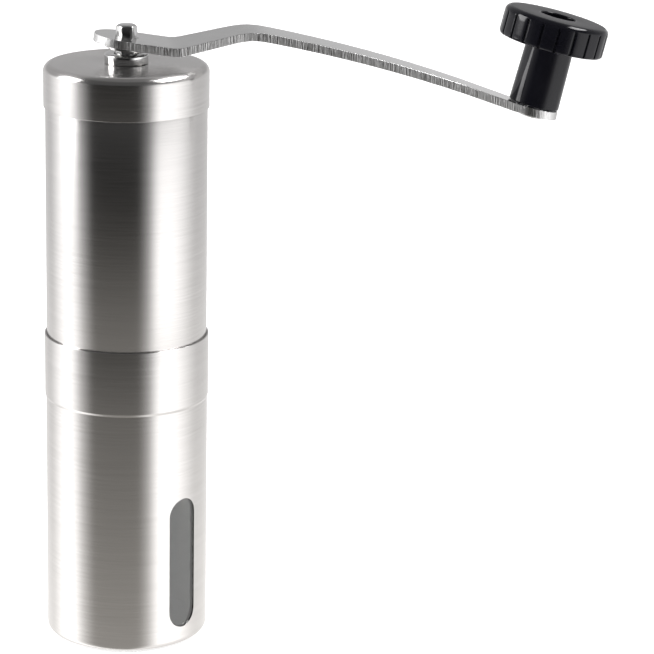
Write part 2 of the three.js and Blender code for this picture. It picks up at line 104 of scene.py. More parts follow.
GRIP_R = 15.6
GRIP_HEIGHT = 8.9
GRIP_BEVEL = 1.85
GRIP_GROOVES = 20
RECESS_R = 5.3
RECESS_DEPTH = 8
RIVET_R = 2.5
WASHER_R = 6.6
REST = 0.3

FINE = 240  # steps round a shell
ROUND = 120  # steps round a small turned piece
WELD = 2e-6
SHALLOWEST = 0.004  # a flute less deep than this is left out
SAME_ROW = 0.002
SAME_COLUMN = 0.05  # of half a tooth's pitch


# ---- Modelling helpers -----------------------------------------------------------------------
def rounded(points, segments=5):
    """An outline as vectors. A point with a third value is a corner of that radius."""
    line = []
    for index, point in enumerate(points):
        here = Vector(point[:2])
        if len(point) < 3:
            line.append(here)
            continue
        before = (Vector(points[index - 1][:2]) - here).normalized()
        after = (Vector(points[(index + 1) % len(points)][:2]) - here).normalized()
        half = before.angle(after) / 2
        centre = here + (before + after).normalized() * point[2] / math.sin(half)
        start = here + before * point[2] / math.tan(half) - centre
        end = here + after * point[2] / math.tan(half) - centre
        first = math.atan2(start.y, start.x)
        sweep = math.remainder(math.atan2(end.y, end.x) - first, 2 * math.pi)
        for step in range(segments + 1):
            angle = first + sweep * step / segments
            line.append(centre + Vector((math.cos(angle), math.sin(angle))) * point[2])
    return line


def drawn(name, points):
    """A line through points in millimetres, drawn from one vertex, left in edit mode."""
    places = [Vector(point) * MM for point in points]
    bpy.ops.object.select_all(action="DESELECT")
    bpy.ops.mesh.primitive_plane_add(size=MM, location=places[0])
    piece = bpy.context.object
    piece.name = name
    bpy.ops.object.mode_set(mode="EDIT")
    bpy.ops.mesh.select_mode(type="VERT")
    bpy.ops.mesh.merge(type="CENTER")
    for here, there in zip(places, places[1:]):
        bpy.ops.mesh.extrude_region_move(TRANSFORM_OT_translate={"value": there - here})
    bpy.ops.mesh.select_all(action="SELECT")
    return piece


def settled(piece, place=None, smooth=35):
    """Ends edit mode, puts the piece in its place, and rests its object at the origin."""
    if piece.mode == "EDIT":
        bpy.ops.object.mode_set(mode="OBJECT")
    bpy.ops.object.select_all(action="DESELECT")
    piece.select_set(True)
    bpy.context.view_layer.objects.active = piece
    if place is not None:
        piece.matrix_world = place @ piece.matrix_world
    bpy.ops.object.transform_apply(location=True, rotation=True, scale=True)
    bpy.ops.object.shade_smooth_by_angle(angle=math.radians(smooth))
    return piece


def tidied():
    """Welds the seam and the poles of the mesh in edit mode and turns its faces outwards."""
    bpy.ops.mesh.select_all(action="SELECT")
    bpy.ops.mesh.remove_doubles(threshold=WELD)
    bpy.ops.mesh.normals_make_consistent(inside=False)


def turned(name, profile, steps=ROUND, segments=5, smooth=35):
    """A profile of radius and height spun round the axis."""
    piece = drawn(name, [(r, 0, z) for r, z in rounded(profile, segments)])
    bpy.ops.mesh.spin(steps=steps, angle=2 * math.pi, center=(0, 0, 0), axis=(0, 0, 1))
    tidied()
    return settled(piece, smooth=smooth)


def ring(name, inner, outer, low, high, ease=0.08, steps=ROUND):
    """A turned ring with eased edges. Its profile starts half way up the bore."""
    middle = (low + high) / 2
    return turned(name, [
        (inner, middle), (inner, low, ease), (outer, low, ease),
        (outer, high, ease), (inner, high, ease), (inner, middle),
    ], steps, 2)


def pushed(name, outline, axis, low, high):
    """A flat outline filled and pushed along an axis, from low to high, in millimetres."""
    base = {
        "x": lambda a, b: (low, a, b),
        "y": lambda a, b: (a, low, b),
        "z": lambda a, b: (a, b, low),
    }
    way = Vector([float(axis == letter) for letter in "xyz"])
    points = [base[axis](a, b) for a, b in outline]
    piece = drawn(name, points + points[:1])
    bpy.ops.mesh.remove_doubles(threshold=WELD)
    bpy.ops.mesh.edge_face_add()
    bpy.ops.mesh.extrude_region_move(TRANSFORM_OT_translate={"value": way * (high - low) * MM})
    tidied()
    return settled(piece)


def prism(name, corner_r, low, high, sides=6):
    """A prism with a corner on +X."""
    bpy.ops.object.select_all(action="DESELECT")
    bpy.ops.mesh.primitive_cylinder_add(
        vertices=sides, radius=corner_r * MM, depth=(high - low) * MM,
        location=(0, 0, (low + high) / 2 * MM), rotation=(0, 0, math.radians(90)),
    )
    piece = bpy.context.object
    piece.name = name
    return settled(piece)


def combined(piece, tool, how):
    """Joins, cuts or crosses a piece with a tool, which is used up."""
    bpy.ops.object.select_all(action="DESELECT")
    bpy.context.view_layer.objects.active = piece
    change = piece.modifiers.new("shape", "BOOLEAN")
    change.operation = how
    change.solver = "EXACT"
    change.object = tool
    bpy.ops.object.modifier_apply(modifier=change.name)
    bpy.data.objects.remove(tool)
    return piece


def eased(piece, width, angle=40, segments=2):
    """Breaks every sharp edge with a small round and lets the flats keep their shading."""
    bpy.ops.object.select_all(action="DESELECT")
    piece.select_set(True)
    bpy.context.view_layer.objects.active = piece
    bevel = piece.modifiers.new("ease", "BEVEL")
    bevel.width = width * MM
    bevel.segments = segments
    bevel.limit_method = "ANGLE"
    bevel.angle_limit = math.radians(angle)
    bpy.ops.object.modifier_apply(modifier=bevel.name)
    bpy.ops.object.shade_smooth_by_angle(angle=math.radians(50))
    flats = piece.modifiers.new("flats", "WEIGHTED_NORMAL")
    flats.keep_sharp = True
    bpy.ops.object.modifier_apply(modifier=flats.name)
    return piece


def grabbed(piece, test):
    """Selects the points whose place, in millimetres, passes a test, and enters edit mode."""
    if piece.mode == "EDIT":
        bpy.ops.object.mode_set(mode="OBJECT")
    mesh = piece.data
    mesh.polygons.foreach_set("select", [False] * len(mesh.polygons))
    mesh.edges.foreach_set("select", [False] * len(mesh.edges))
    mesh.vertices.foreach_set("select", [bool(test(v.co / MM)) for v in mesh.vertices])
    bpy.ops.object.select_all(action="DESELECT")
    piece.select_set(True)
    bpy.context.view_layer.objects.active = piece
    bpy.ops.object.mode_set(mode="EDIT")


def fluted(piece, count, phase, depth_at, rows):
    """Draws in the columns of a turned piece. depth_at gives how far from the column's share
    of the pitch, 0 on a groove and 1 midway between two; rows tests radius and height."""
    pitch = 2 * math.pi / count

    def share(place):
        turn = math.remainder(math.atan2(place.y, place.x) - phase, pitch)
        return round(abs(turn) * 2 / pitch, 3)

    shares = sorted({share(v.co) for v in piece.data.vertices})
    for level in shares:
        depth = depth_at(level)
        if depth < SHALLOWEST:
            continue
        grabbed(piece, lambda p, level=level: (
            rows(math.hypot(p.x, p.y), p.z) and share(p) == level))
        size = 1 - depth / rows.radius
        bpy.ops.transform.resize(value=(size, size, 1), center_override=(0, 0, 0))
    bpy.ops.object.mode_set(mode="OBJECT")
    return piece


class Rows:
    """The points of a turned piece between two radii and two heights, in millimetres."""

    def __init__(self, inner, outer, low, high):
        self.inner, self.radius = inner, outer
        self.low, self.high = low, high

    def __call__(self, radius, height):
        return self.inner < radius < self.radius + 0.1 and self.low < height < self.high


def twisted(piece, low, high, rate, inner):
    """Turns each row of a fluted piece a little more than the row below it."""
    heights = sorted({round(v.co.z / MM, 3) for v in piece.data.vertices})
    for height in heights:
        if low < height <= high:
            grabbed(piece, lambda p, h=height: (
                abs(p.z - h) < SAME_ROW and math.hypot(p.x, p.y) > inner))
            bpy.ops.transform.rotate(
                value=rate * (height - low), orient_axis="Z", center_override=(0, 0, 0))
    if piece.mode == "EDIT":
        bpy.ops.object.mode_set(mode="OBJECT")
    return piece


def toothed(piece, belongs, shares, size_at):
    """Scales the columns of a burr's teeth. A column's share of the pitch is 0 at a tooth's
    edge and 1 midway; belongs tests the radius."""
    pitch = 2 * math.pi / BURR_TEETH

    def share_of(place):
        return abs(math.remainder(math.atan2(place.y, place.x), pitch)) * 2 / pitch

    for share in shares:
        grabbed(piece, lambda p, share=share: (
            belongs(math.hypot(p.x, p.y)) and abs(share_of(p) - share) < SAME_COLUMN))
        size = size_at(share)
        bpy.ops.transform.resize(value=(size, size, 1), center_override=(0, 0, 0))
    bpy.ops.object.mode_set(mode="OBJECT")


def fitted(piece, node, finish):
    """The piece stands for a node of the frame: it takes its body and its finish."""
    piece.data.materials.clear()
    piece.data.materials.append(finish)
    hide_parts(node)
    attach(piece, BODY_OF[node])
    return piece


# ---- Finishes --------------------------------------------------------------------------------
class Wire:
    """One value in a node tree. Sums written with wires add Math nodes."""

    def __init__(self, board, socket):
        self.board = board
        self.socket = socket

    def math(self, operation, first, second=None):
        values = {0: first} if second is None else {0: first, 1: second}
        return self.board.add("ShaderNodeMath", {"operation": operation}, values)

    def __add__(self, other):
        return self.math("ADD", self, other)

    def __mul__(self, other):
        return self.math("MULTIPLY", self, other)

    def __sub__(self, other):
        return self.math("SUBTRACT", self, other)

    def __rsub__(self, other):
        return self.math("SUBTRACT", other, self)

    def __truediv__(self, other):
        return self.math("DIVIDE", self, other)

    def __pow__(self, other):
        return self.math("POWER", self, other)

    __radd__ = __add__
    __rmul__ = __mul__


class Board:
    """A node tree that is being wired."""

    def __init__(self, tree):
        self.tree = tree

    def add(self, kind, settings=None, values=None, output=0):
        """Adds a node, makes its settings, then fills or links its sockets."""
        node = self.tree.nodes.new(kind)
        for name, setting in (settings or {}).items():
            if name == "stops":
                self.stops(node.color_ramp, setting)
            else:
                setattr(node, name, setting)
        for name, value in (values or {}).items():
            self.feed(node.inputs[name], value)
        return Wire(self, node.outputs[output])

    def feed(self, socket, value):
        if isinstance(value, Wire):
            self.tree.links.new(value.socket, socket)
        else:
            socket.default_value = value

    @staticmethod
    def stops(ramp, stops):
        while len(ramp.elements) < len(stops):
            ramp.elements.new(0.5)
        for element, (place, colour) in zip(ramp.elements, stops):
            element.position = place
            element.color = (*colour, 1)

    def place(self):
        """Object coordinates, in metres."""
        return self.add("ShaderNodeTexCoord", output="Object")

    def parts(self, vector):
        split = self.add("ShaderNodeSeparateXYZ", values={0: vector})
        return [Wire(self, socket) for socket in split.socket.node.outputs]

    def vector(self, x, y, z):
        return self.add("ShaderNodeCombineXYZ", values={0: x, 1: y, 2: z})

    def noise(self, vector, scale=1, detail=3, roughness=0.6, w=None):
        settings = {"noise_dimensions": "3D" if w is None else "4D"}
        values = {"Vector": vector, "Scale": scale, "Detail": detail, "Roughness": roughness}
        if w is not None:
            values["W"] = w
        return self.add("ShaderNodeTexNoise", settings, values, "Fac")

    def ranged(self, value, low, high, to_low=0, to_high=1, smooth=False):
        kind = "SMOOTHSTEP" if smooth else "LINEAR"
        return self.add("ShaderNodeMapRange", {"interpolation_type": kind}, {
            "Value": value, "From Min": low, "From Max": high, "To Min": to_low, "To Max": to_high,
        })

    def mix(self, share, first, second):
        return self.add("ShaderNodeMix", {"data_type": "RGBA"}, {0: share, 6: first, 7: second}, 2)

    def bump(self, height, distance, strength=1):
        return self.add("ShaderNodeBump", values={
            "Height": height, "Distance": distance, "Strength": strength,
        })


class Finish(Board):
    """A material. Values that are the same all over go straight on its surface shader."""

    def __init__(self, name, **surface):
        self.material = bpy.data.materials.new(name)
        self.material.use_nodes = True
        super().__init__(self.material.node_tree)
        self.surface = self.tree.nodes["Principled BSDF"]
        for socket, value in surface.items():
            self.surface.inputs[socket.replace("_", " ")].default_value = value

    def wear(self, socket, value):
        self.feed(self.surface.inputs[socket], value)


def grain(finish, across, along):
    """Long fine scratches that run round the axis: fine in radius and height, long round it."""
    x, y, z = finish.parts(finish.place())
    radius = (x * x + y * y) ** 0.5
    place = finish.vector(radius * across, z * across, x * along)
    return finish.noise(place, w=y * along, detail=4)


def brushed_steel():
    finish = Finish("brushed_steel", Metallic=1.0, Anisotropic=0.7, Anisotropic_Rotation=0.25)
    fine = grain(finish, 2600, 45)
    broad = grain(finish, 420, 26)
    cloud = finish.noise(finish.place(), 38, 2)
    tone = finish.ranged(fine * 0.7 + broad * 0.3, 0.3, 0.7)
    finish.wear("Base Color", finish.mix(tone, (0.575, 0.563, 0.551, 1), (0.66, 0.647, 0.635, 1)))
    finish.wear("Roughness", finish.ranged(fine * 0.7 + cloud * 0.3, 0.35, 0.65, 0.21, 0.25))
    finish.wear("Normal", finish.bump(fine, 0.000012, 0.5))
    return finish.material


def polished_steel():
    """Bright steel. The crank's sheared sides, all outside its hub, keep fine upright lines."""
    finish = Finish("polished_steel", Metallic=1.0)
    x, y, z = finish.parts(finish.place())
    upright = finish.parts(finish.add("ShaderNodeNewGeometry", output="Normal"))[2]
    level = finish.add("ShaderNodeMath", {"operation": "ABSOLUTE"}, {0: upright})
    outside = finish.ranged((x * x + y * y) ** 0.5, 0.0084, 0.0092)
    side = finish.ranged(level, 0.75, 0.45) * outside
    lines = finish.noise(finish.vector(x * 2900, y * 2900, z * 150), detail=2)
    haze = finish.noise(finish.place(), 260, 3)
    finish.wear("Base Color", finish.mix(haze, (0.63, 0.63, 0.625, 1), (0.7, 0.7, 0.695, 1)))
    finish.wear("Roughness", finish.ranged(haze, 0.3, 0.7, 0.09, 0.15) + side * lines * 0.4)
    finish.wear("Normal", finish.bump(lines * side, 0.00017, 0.8))
    return finish.material


def spring_steel():
    finish = Finish("spring_steel", Metallic=1.0)
    stain = finish.noise(finish.place(), 420, 4)
    finish.wear("Base Color", finish.mix(stain, (0.4, 0.41, 0.43, 1), (0.56, 0.57, 0.58, 1)))
    finish.wear("Roughness", finish.ranged(stain, 0.3, 0.7, 0.22, 0.36))
    finish.wear("Normal", finish.bump(grain(finish, 3200, 200), 0.00001, 0.4))
    return finish.material


def brass():
    finish = Finish("brass", Metallic=1.0)
    cut = grain(finish, 3500, 60)
    finish.wear("Base Color", finish.mix(cut, (0.6, 0.42, 0.17, 1), (0.78, 0.58, 0.29, 1)))
    finish.wear("Roughness", finish.ranged(cut, 0.35, 0.65, 0.2, 0.36))
    finish.wear("Normal", finish.bump(cut, 0.00002, 0.5))
    return finish.material


def knob_plastic():
    """Glossy black; the top face carries a finer satin from its mould."""
    finish = Finish("knob_plastic", IOR=1.32)
    axis = JOINTS["knob_spin"]["axis"]
    facing = finish.add("ShaderNodeVectorMath", {"operation": "DOT_PRODUCT"}, {
        0: finish.add("ShaderNodeNewGeometry", output="Normal"), 1: axis,
    }, "Value")
    face = finish.ranged(facing, 0.9, 0.99)
    dust = finish.noise(finish.place(), 1500, 4)
    flow = finish.noise(finish.place(), 90, 2)
    finish.wear("Base Color", finish.mix(flow, (0.004, 0.004, 0.006, 1), (0.009, 0.009, 0.012, 1)))
    finish.wear("Roughness", finish.ranged(dust, 0.3, 0.7, 0.06, 0.09) + face * 0.26)
    finish.wear("Normal", finish.bump(dust * face + flow * 0.3, 0.00002, 0.5))
    return finish.material


def black_plastic():
    finish = Finish("black_plastic", IOR=1.5)
    grainy = finish.noise(finish.place(), 2200, 4)
    flow = finish.noise(finish.place(), 120, 2)
    finish.wear("Base Color", finish.mix(flow, (0.016, 0.016, 0.018, 1), (0.034, 0.034, 0.036, 1)))
    finish.wear("Roughness", finish.ranged(grainy, 0.3, 0.7, 0.42, 0.58))
    finish.wear("Normal", finish.bump(grainy, 0.00003, 0.6))
    return finish.material


def ceramic():
    finish = Finish("ceramic", IOR=1.6)
    speck = finish.noise(finish.place(), 1600, 5)
    tone = finish.noise(finish.place(), 140, 2)
    finish.wear("Base Color", finish.mix(tone, (0.74, 0.71, 0.64, 1), (0.86, 0.84, 0.79, 1)))
    finish.wear("Roughness", finish.ranged(speck, 0.3, 0.7, 0.34, 0.5))
    finish.wear("Normal", finish.bump(speck, 0.00003, 0.5))
    return finish.material


def clear_plastic():
    finish = Finish("clear_plastic", IOR=1.6, Transmission_Weight=1.0)
    film = finish.noise(finish.place(), 150, 3)
    finish.wear("Base Color", finish.mix(film, (0.86, 0.9, 0.87, 1), (0.93, 0.94, 0.92, 1)))
    finish.wear("Roughness", finish.ranged(film, 0.3, 0.7, 0.02, 0.05))
    return finish.material


# ---- Studio ----------------------------------------------------------------------------------
CAMERA_PLACE = Vector((-69.65, -868.7, 343.15)) * MM
CAMERA_YAW = 0.1478
CAMERA_PITCH = 0.2787
CAMERA_ROLL = 0.0177
CAMERA_LENS = 168.9
SENSOR = 36


def camera():
    level = math.cos(CAMERA_PITCH)
    ahead = Vector((
        math.sin(CAMERA_YAW) * level, math.cos(CAMERA_YAW) * level, -math.sin(CAMERA_PITCH)))
    right = ahead.cross(Vector((0, 0, 1))).normalized()
    up = right.cross(ahead)
    tilt = Matrix.Rotation(CAMERA_ROLL, 3, "Z")
    lens = bpy.data.cameras.new("camera")
    lens.lens = CAMERA_LENS
    lens.sensor_width = SENSOR
    eye = bpy.data.objects.new("camera", lens)
    bpy.context.scene.collection.objects.link(eye)
    axes = Matrix((right, up, -ahead)).transposed() @ tilt
    eye.matrix_world = Matrix.Translation(CAMERA_PLACE) @ axes.to_4x4()
    bpy.context.scene.camera = eye


def panel(board, place, low, low_soft, high, high_soft):
    """How much of a soft panel is seen: all of it from low to high, fading out beyond them."""
    rise = board.ranged(place, low - low_soft, low, smooth=True)
    fall = board.ranged(place, high, high + high_soft, 1, 0, smooth=True)
    return rise * fall


def studio_light():
    """A pale room with two soft panels and two small bright lamps. A dark stretch behind the
    camera gives the steel its dark band. Turns are in degrees, from the camera to its right;
    heights run from -1 straight down to 1 straight up."""
    room, room_above, zenith = 0.74, 0.46, 0.2
    side_lamp_power, upper_lamp_power = 11, 15
    world = bpy.data.worlds.new("studio")
    bpy.context.scene.world = world
    world.use_nodes = True
    board = Board(world.node_tree)
    outward = Vector((CAMERA_PLACE.x, CAMERA_PLACE.y, 0)).normalized()
    rightward = Vector((-outward.y, outward.x, 0))
    way = board.add("ShaderNodeTexCoord", output="Generated")

    def along(axis):
        dot = {"operation": "DOT_PRODUCT"}
        return board.add("ShaderNodeVectorMath", dot, {0: way, 1: axis}, "Value")

    compass = {0: along(rightward), 1: along(outward)}
    turn = board.add("ShaderNodeMath", {"operation": "ARCTAN2"}, compass) * math.degrees(1)
    height = board.parts(way)[2]
    dark = panel(board, turn, -46, 32, 14, 32)
    left = panel(board, turn, -98, 40, -88, 22)
    right = panel(board, turn, 51, 22, 60, 60)
    front = panel(board, turn, -98, 24, 64, 26)
    standing = board.ranged(height, -0.56, -0.4, 0.25, 1, smooth=True)
    low_light = room - dark * 0.73 + left * 0.85 + right * standing * 1.1
    high_light = room_above - front * 0.36
    overhead = board.ranged(height, 0.75, 0.95, smooth=True)
    raised = board.ranged(height, 0.0, 0.2, smooth=True)
    light = low_light * (1 - raised) + high_light * raised
    light = light * (1 - overhead) + overhead * zenith
    side_lamp = panel(board, turn, -102, 8, -80, 8) * panel(board, height, 0.15, 0.05, 0.6, 0.06)
    upper_lamp = panel(board, turn, 62, 6, 116, 6) * panel(board, height, 0.66, 0.03, 0.84, 0.03)
    light = light + side_lamp * side_lamp_power + upper_lamp * upper_lamp_power
    background = world.node_tree.nodes["Background"]
    board.feed(background.inputs["Color"], board.vector(light, light * 0.993, light))
    background.inputs["Strength"].default_value = 1


def floor():
    """A plain white table top. Glossy pieces see a softer glow that fades with distance."""
    table_size, glow_reach = 12, 1.2
    glow_power, glow_fade = 0.47, -3.6
    bpy.ops.object.select_all(action="DESELECT")
    bpy.ops.mesh.primitive_plane_add(size=table_size, location=(0, 0, -0.0002))
    sheet = settled(bpy.context.object)
    sheet.name = "floor"
    paper = Finish("floor_paper", Roughness=0.9, Emission_Strength=0.6)
    fibre = paper.noise(paper.place(), 60, 2)
    paper.wear("Base Color", paper.mix(fibre, (0.66, 0.66, 0.66, 1), (0.68, 0.68, 0.68, 1)))
    paper.wear("Emission Color", (1, 1, 1, 1))
    sheet.data.materials.append(paper.material)
    sheet.visible_glossy = False

    bpy.ops.object.select_all(action="DESELECT")
    bpy.ops.mesh.primitive_circle_add(
        vertices=64, radius=glow_reach, fill_type="NGON", location=(0, 0, -0.0004))
    glow = settled(bpy.context.object)
    glow.name = "floor_glow"
    material = bpy.data.materials.new("floor_glow")
    material.use_nodes = True
    sheen = Board(material.node_tree)
    x, y, _ = sheen.parts(sheen.place())
    distance = (x * x + y * y) ** 0.5
    fade = sheen.add("ShaderNodeMath", {"operation": "EXPONENT"}, {0: distance * glow_fade})
    light = sheen.add("ShaderNodeEmission", values={
        "Color": (1, 0.96, 0.9, 1), "Strength": fade * glow_power,
    })
    clear = sheen.add("ShaderNodeBsdfTransparent")
    both = sheen.add("ShaderNodeAddShader", values={0: light, 1: clear})
    sheen.feed(material.node_tree.nodes["Material Output"].inputs["Surface"], both)
    glow.data.materials.append(material)
    glow.visible_camera = False
    glow.visible_diffuse = False
    glow.visible_shadow = False


# ---- Container -------------------------------------------------------------------------------
def window_plug(name, width, low, high, inner, outer):
    """An upright slot with round ends, pushed out from the axis through the cup's wall."""
    half = width / 2
    ends = []
    for centre, start in ((low + half, 180), (high - half, 0)):
        for step in range(25):
            angle = math.radians(start + step * 7.5)
            ends.append((half * math.cos(angle), centre + half * math.sin(angle)))
    plug = pushed(name, ends, "x", inner, outer)
    return settled(plug, Matrix.Rotation(WINDOW_ANGLE, 4, "Z"))


def container_shell(finish):
    bore = CUP_R - CUP_WALL
    mouth = TUBE_R + SLIDE_GAP
    inner_corner = CUP_CORNER - 0.4
    shell = turned("steel_container", [
        (0, 0), (CUP_R, 0, CUP_CORNER),
        (CUP_R, COLLAR_LOW, 0.6), (COLLAR_R, COLLAR_LOW + 0.7, 0.6),
        (COLLAR_R, CUP_TOP, 0.16), (mouth, CUP_TOP, 0.1), (mouth, SEAT, 0.1), (bore, SEAT, 0.1),
        (bore, CUP_FLOOR, inner_corner), (0, CUP_FLOOR),
    ], FINE, 8)
    opening = window_plug("opening", WINDOW_WIDTH, WINDOW_LOW, WINDOW_HIGH, 15, 30)
    settled(combined(shell, opening, "DIFFERENCE"))
    return fitted(shell, "container_shell", finish)


def window_pane(finish):
    """A clear plate behind the opening with a raised pad that fills it."""
    bore = CUP_R - CUP_WALL
    border = 2
    gap = 0.12
    plate = ring("sight_window", bore - 0.75, bore - gap, 1, WINDOW_HIGH + 10, 0.05, FINE)
    outline = window_plug(
        "outline", WINDOW_WIDTH + 2 * border, WINDOW_LOW - border, WINDOW_HIGH + border, 15, 30)
    combined(plate, outline, "INTERSECT")
    pad = ring("pad", bore - 0.4, CUP_R - 0.25, 1, WINDOW_HIGH + 10, 0.05, FINE)
    fill = window_plug(
        "fill", WINDOW_WIDTH - 2 * gap, WINDOW_LOW + gap, WINDOW_HIGH - gap, 15, 30)
    combined(pad, fill, "INTERSECT")
    settled(combined(plate, pad, "UNION"))
    return fitted(plate, "window_pane", finish)


# ---- Hopper ----------------------------------------------------------------------------------
def hopper_tube(finish):
    low = bottom("hopper_tube")
    high = top("hopper_tube")
    tube = ring("steel_hopper_tube", TUBE_R - TUBE_WALL, TUBE_R, low, high, 0.15, FINE)
    return fitted(tube, "hopper_tube", finish)


def spoke(inner, outer, width, low, high, degrees):
    """A bar with rounded upper edges that runs out from the axis."""
    half = width / 2
    outline = rounded([(-half, low), (half, low), (half, high, 0.9), (-half, high, 0.9)], 4)
    bar = pushed("arm", outline, "x", inner, outer)
    return settled(bar, Matrix.Rotation(math.radians(degrees), 4, "Z"))


def burr_carrier(finish):
    """A funnel with the seat of the fixed burr below it and a three-armed bearing across it."""
    rim = TUBE_R - TUBE_WALL - 0.1
    wall = BURR_SEAT_R + 2
    seat_top = top("outer_burr") + 0.1
    flange = SEAT + 0.4
    low = bottom("burr_carrier")
    high = top("burr_carrier")
    middle = (low + seat_top) / 2
    body = turned("burr_carrier_moulding", [
        (BURR_SEAT_R, middle), (BURR_SEAT_R, low, 0.3), (wall, low, 0.3), (wall, flange),
        (rim, flange, 0.3), (rim, flange + 3.2, 0.3), (wall, flange + 3.2), (wall, 94.55, 1),
        (rim, 101, 1), (rim, high, 0.3), (rim - 0.9, high, 0.3), (13.6, 88.5, 1),
        (13.6, seat_top, 0.2), (BURR_SEAT_R, seat_top), (BURR_SEAT_R, middle),
    ], ROUND, 4)
    combined(body, ring("hub", BUSH_R + 0.1, 5.8, 92.2, 100, 0.3, 72), "UNION")
    for degrees in (30, 150, 270):
        combined(body, spoke(5.2, 19, 3.2, 92.6, 97, degrees), "UNION")
    settled(body)
    return fitted(body, "burr_carrier", finish)


def bushing(name, node, finish):
    """A plain bearing with a thin flange that rests on its hub."""
    low = bottom(node)
    high = top(node)
    shoulder = high - 0.7
    middle = (low + high) / 2
    piece = turned(name, [
        (BUSH_BORE, middle), (BUSH_BORE, low, 0.15), (BUSH_R, low, 0.25), (BUSH_R, shoulder),
        (BUSH_FLANGE, shoulder, 0.1), (BUSH_FLANGE, high, 0.2),
        (BUSH_BORE, high, 0.2), (BUSH_BORE, middle),
    ], 96, 3)
    return fitted(piece, node, finish)


def upper_bridge(finish):
    """A ring with three arms that steadies the top of the shaft."""
    rim = TUBE_R - TUBE_WALL - 0.15
    low = bottom("upper_bridge") + 1
    high = top("upper_bridge") - 1
    body = ring("upper_bridge_moulding", rim - 1.6, rim, low, high, 0.3)
    combined(body, ring("hub", BUSH_R + 0.1, 6, low - 1, high + 1, 0.3, 72), "UNION")
    for degrees in (90, 210, 330):
        combined(body, spoke(5.2, rim - 0.6, 3, low + 1, high - 1, degrees), "UNION")
    settled(body)
    return fitted(body, "upper_bridge", finish)


def outer_burr(finish):
    """The fixed burr: a flared bore cut with slanted teeth."""
    low = bottom("outer_burr")
    high = top("outer_burr")
    wall = BURR_SEAT_R - 0.1
    tooth_depth, bore_reach, mean_r, twist = 0.75, 15.9, 14.5, 0.018
    bore = [(15.65, low), (15.55, 69.5), (14.9, 72), (13.9, 76), (13.2, 80.2), (12.6, high)]
    points = [(wall, (low + high) / 2), (wall, high, 0.3), bore[-1]]
    for (r1, z1), (r0, z0) in zip(bore[::-1], bore[-2::-1]):
        points += [(r1 + (r0 - r1) * t / 4, z1 + (z0 - z1) * t / 4) for t in range(1, 5)]
    points += [(wall, low, 0.3), (wall, (low + high) / 2)]
    body = turned("outer_burr_ceramic", points, 360, 3)
    toothed(body, lambda r: r < bore_reach, [step / 5 for step in range(5)],
            lambda share: 1 + tooth_depth * (1 - share) / mean_r)
    twisted(body, low, high, twist, 0)
    settled(body, smooth=25)
    return fitted(body, "outer_burr", finish)


def burr_retainer(finish):
    body = ring("burr_retainer_ring", 15.9, BURR_SEAT_R - 0.1,
                bottom("burr_retainer"), top("burr_retainer"), 0.3)
    return fitted(body, "burr_retainer", finish)


# ---- Lid -------------------------------------------------------------------------------------
def lid(finish):
    bore = LID_R - LID_WALL
    low = bottom("lid")
    roof = LID_TOP - LID_ROOF
    hole = BUSH_R + 0.35
    body = turned("steel_lid", [
        (bore, (low + roof) / 2), (bore, low, 0.1),
        (LID_R, low, 0.14), (LID_R, LID_TOP, LID_CORNER),
        (hole, LID_TOP, 0.1), (hole, roof, 0.1), (bore, roof, LID_CORNER - LID_WALL),
        (bore, (low + roof) / 2),
    ], FINE, 12)
    return fitted(body, "lid", finish)


def lid_bushing(finish):
    bore = SHAFT_R + 0.4
    spigot = BUSH_R + 0.2
    low = bottom("lid_bushing")
    high = top("lid_bushing")
    lip = LID_TOP - LID_ROOF - 0.1
    collar_r = 6.35
    body = turned("lid_collar", [
        (bore, (low + high) / 2), (bore, low, 0.15),
        (BUSH_FLANGE, low, 0.2), (BUSH_FLANGE, lip, 0.2), (spigot, lip), (spigot, LID_TOP + 0.05),
        (collar_r, LID_TOP + 0.05, 0.15), (collar_r, high, 0.4),
        (bore, high, 0.2), (bore, (low + high) / 2),
    ], ROUND, 6)
    return fitted(body, "lid_bushing", finish)


# ---- Shaft -----------------------------------------------------------------------------------
def drive_shaft(finish):
    """Round in its bearings, six-sided at the crank and the turning burr, threaded below."""
    low = bottom("drive_shaft")
    high = top("drive_shaft")
    hex_low, hex_high = 66.8, 90.5
    crank_hex = 175.4
    groove_r, groove_low, groove_high = 2.7, 101.0, 102.0
    thread_r, pitch = 2.5, 0.8
    thread = [(0, low), (thread_r - 0.5, low)]
    turns = int((hex_low + 1 - low) / pitch)
    for turn in range(turns):
        start = low + 0.35 + turn * pitch
        thread += [(thread_r, start + pitch * 0.3), (thread_r, start + pitch * 0.45),
                   (thread_r - 0.35, start + pitch * 0.9)]
    rod = turned("steel_shaft", thread + [
        (thread_r, hex_low + 1), (2.6, hex_low + 1.4), (2.6, hex_high),
        (SHAFT_R, hex_high, 0.1), (SHAFT_R, groove_low, 0.08),
        (groove_r, groove_low), (groove_r, groove_high),
        (SHAFT_R, groove_high, 0.08), (SHAFT_R, crank_hex, 0.2), (0, crank_hex),
    ], 96, 3)
    lower = eased(prism("lower_hex", HEX_R, hex_low, hex_high), 0.12)
    combined(rod, lower, "UNION")
    point = turned("point", [
        (0, crank_hex - 1), (4, crank_hex - 1), (4, high - 1.1), (2.3, high, 0.12), (0, high),
    ], 96, 3)
    upper = combined(prism("upper_hex", HEX_R, crank_hex - 0.5, high), point, "INTERSECT")
    combined(rod, eased(upper, 0.14, 25), "UNION")
    settled(rod, smooth=30)
    return fitted(rod, "drive_shaft", finish)


